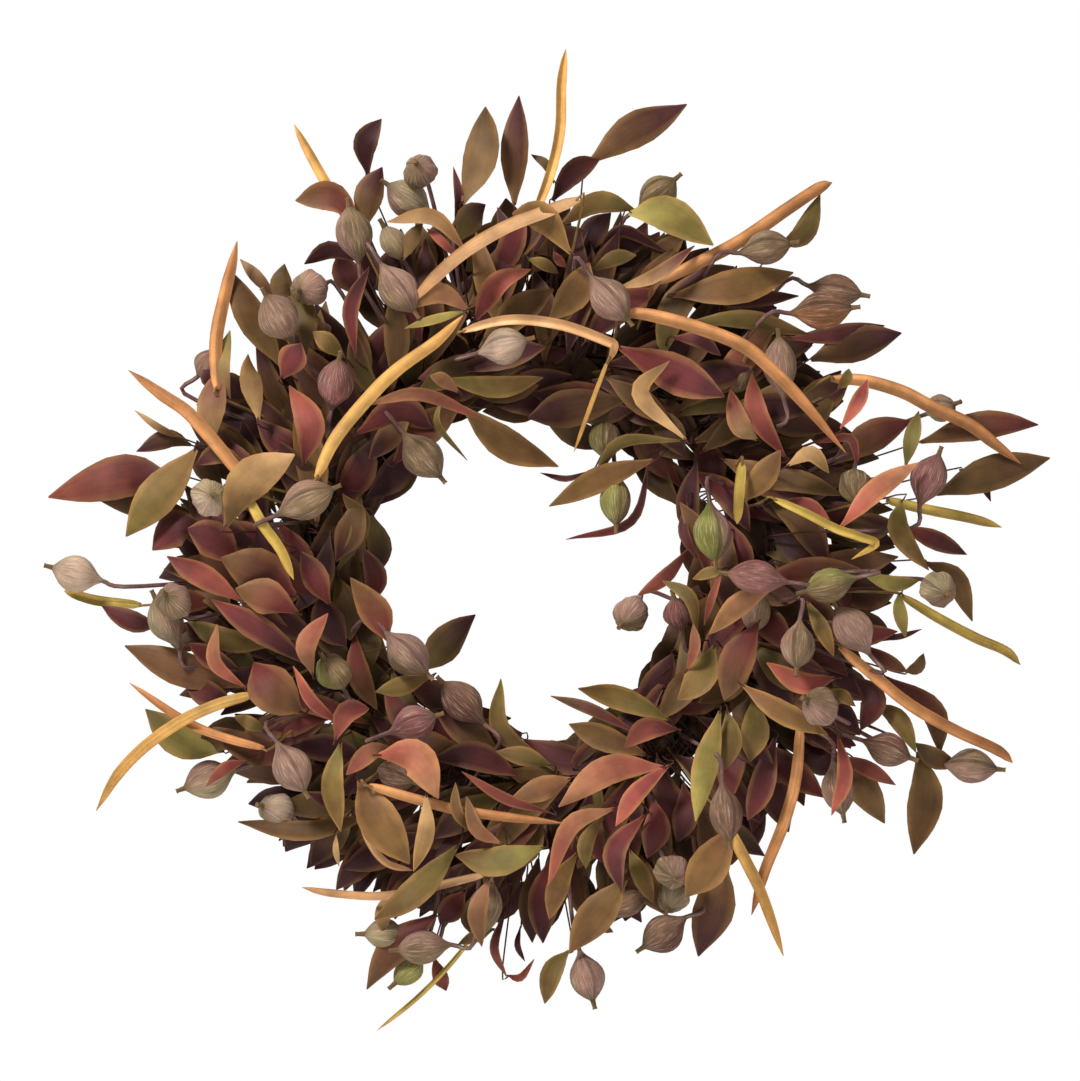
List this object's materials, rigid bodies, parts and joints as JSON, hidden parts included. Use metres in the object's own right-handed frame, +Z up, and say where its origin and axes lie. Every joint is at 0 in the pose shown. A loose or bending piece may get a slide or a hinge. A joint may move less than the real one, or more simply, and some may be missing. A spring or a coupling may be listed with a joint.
{
  "type": "door wreath",
  "caption": "Round autumn door wreath: wired sprays of foam leaves, papery seed pods and grass blades on a twisted vine ring, with a wire hanging loop.",
  "frame": {"origin": "where the nail or hook carries the wreath: inside the top of the hanger's loop", "axes": "+Z up, +Y towards the door, so the front faces -Y; +X to the right as seen from the front"},
  "size_m": [0.663, 0.1351, 0.6501],
  "materials": {
    "olive_leaf": "satin",
    "maroon_leaf": "satin",
    "pod": "papery, matt",
    "grass": "satin",
    "vine": "rough bark",
    "binding_wire": "matt",
    "hanger_loop": "drawn wire"
  },
  "bodies": {
    "wreath": {"binding_wire": "binding_wire", "core_vine": "vine", "grass_tuft_01": "grass", "grass_tuft_02": "grass", "grass_tuft_03": "grass", "grass_tuft_04": "grass", "grass_tuft_05": "grass", "grass_tuft_06": "grass", "grass_tuft_07": "grass", "grass_tuft_08": "grass", "grass_tuft_10": "grass", "grass_tuft_11": "grass", "grass_tuft_12": "grass", "grass_tuft_13": "grass", "grass_tuft_14": "grass", "grass_tuft_16": "grass", "leaf_spray_01": "maroon_leaf", "leaf_spray_02": "olive_leaf", "leaf_spray_03": "maroon_leaf", "leaf_spray_04": "olive_leaf", "leaf_spray_05": "maroon_leaf", "leaf_spray_06": "olive_leaf", "leaf_spray_07": "maroon_leaf", "leaf_spray_08": "olive_leaf", "leaf_spray_09": "maroon_leaf", "leaf_spray_10": "olive_leaf", "leaf_spray_11": "maroon_leaf", "leaf_spray_12": "olive_leaf", "leaf_spray_13": "maroon_leaf", "leaf_spray_14": "olive_leaf", "leaf_spray_15": "maroon_leaf", "leaf_spray_16": "olive_leaf", "pod_pick_01": "pod", "pod_pick_02": "pod", "pod_pick_03": "pod", "pod_pick_04": "pod", "pod_pick_05": "pod", "pod_pick_06": "pod", "pod_pick_07": "pod", "pod_pick_08": "pod", "pod_pick_09": "pod", "pod_pick_10": "pod", "pod_pick_11": "pod", "pod_pick_12": "pod", "pod_pick_13": "pod", "pod_pick_14": "pod", "pod_pick_15": "pod", "pod_pick_16": "pod", "vine_1": "vine", "vine_2": "vine", "vine_3": "vine", "vine_4": "vine", "vine_5": "vine"},
    "hanger": {"hanger_loop": "hanger_loop"}
  },
  "joints": [
    {"name": "hanger_swing", "type": "hinge", "parent": "wreath", "child": "hanger", "pos_m": [0, -0.0159, -0.0351], "axis": [-1, 0, 0], "range_deg": [0, 80]}
  ]
}
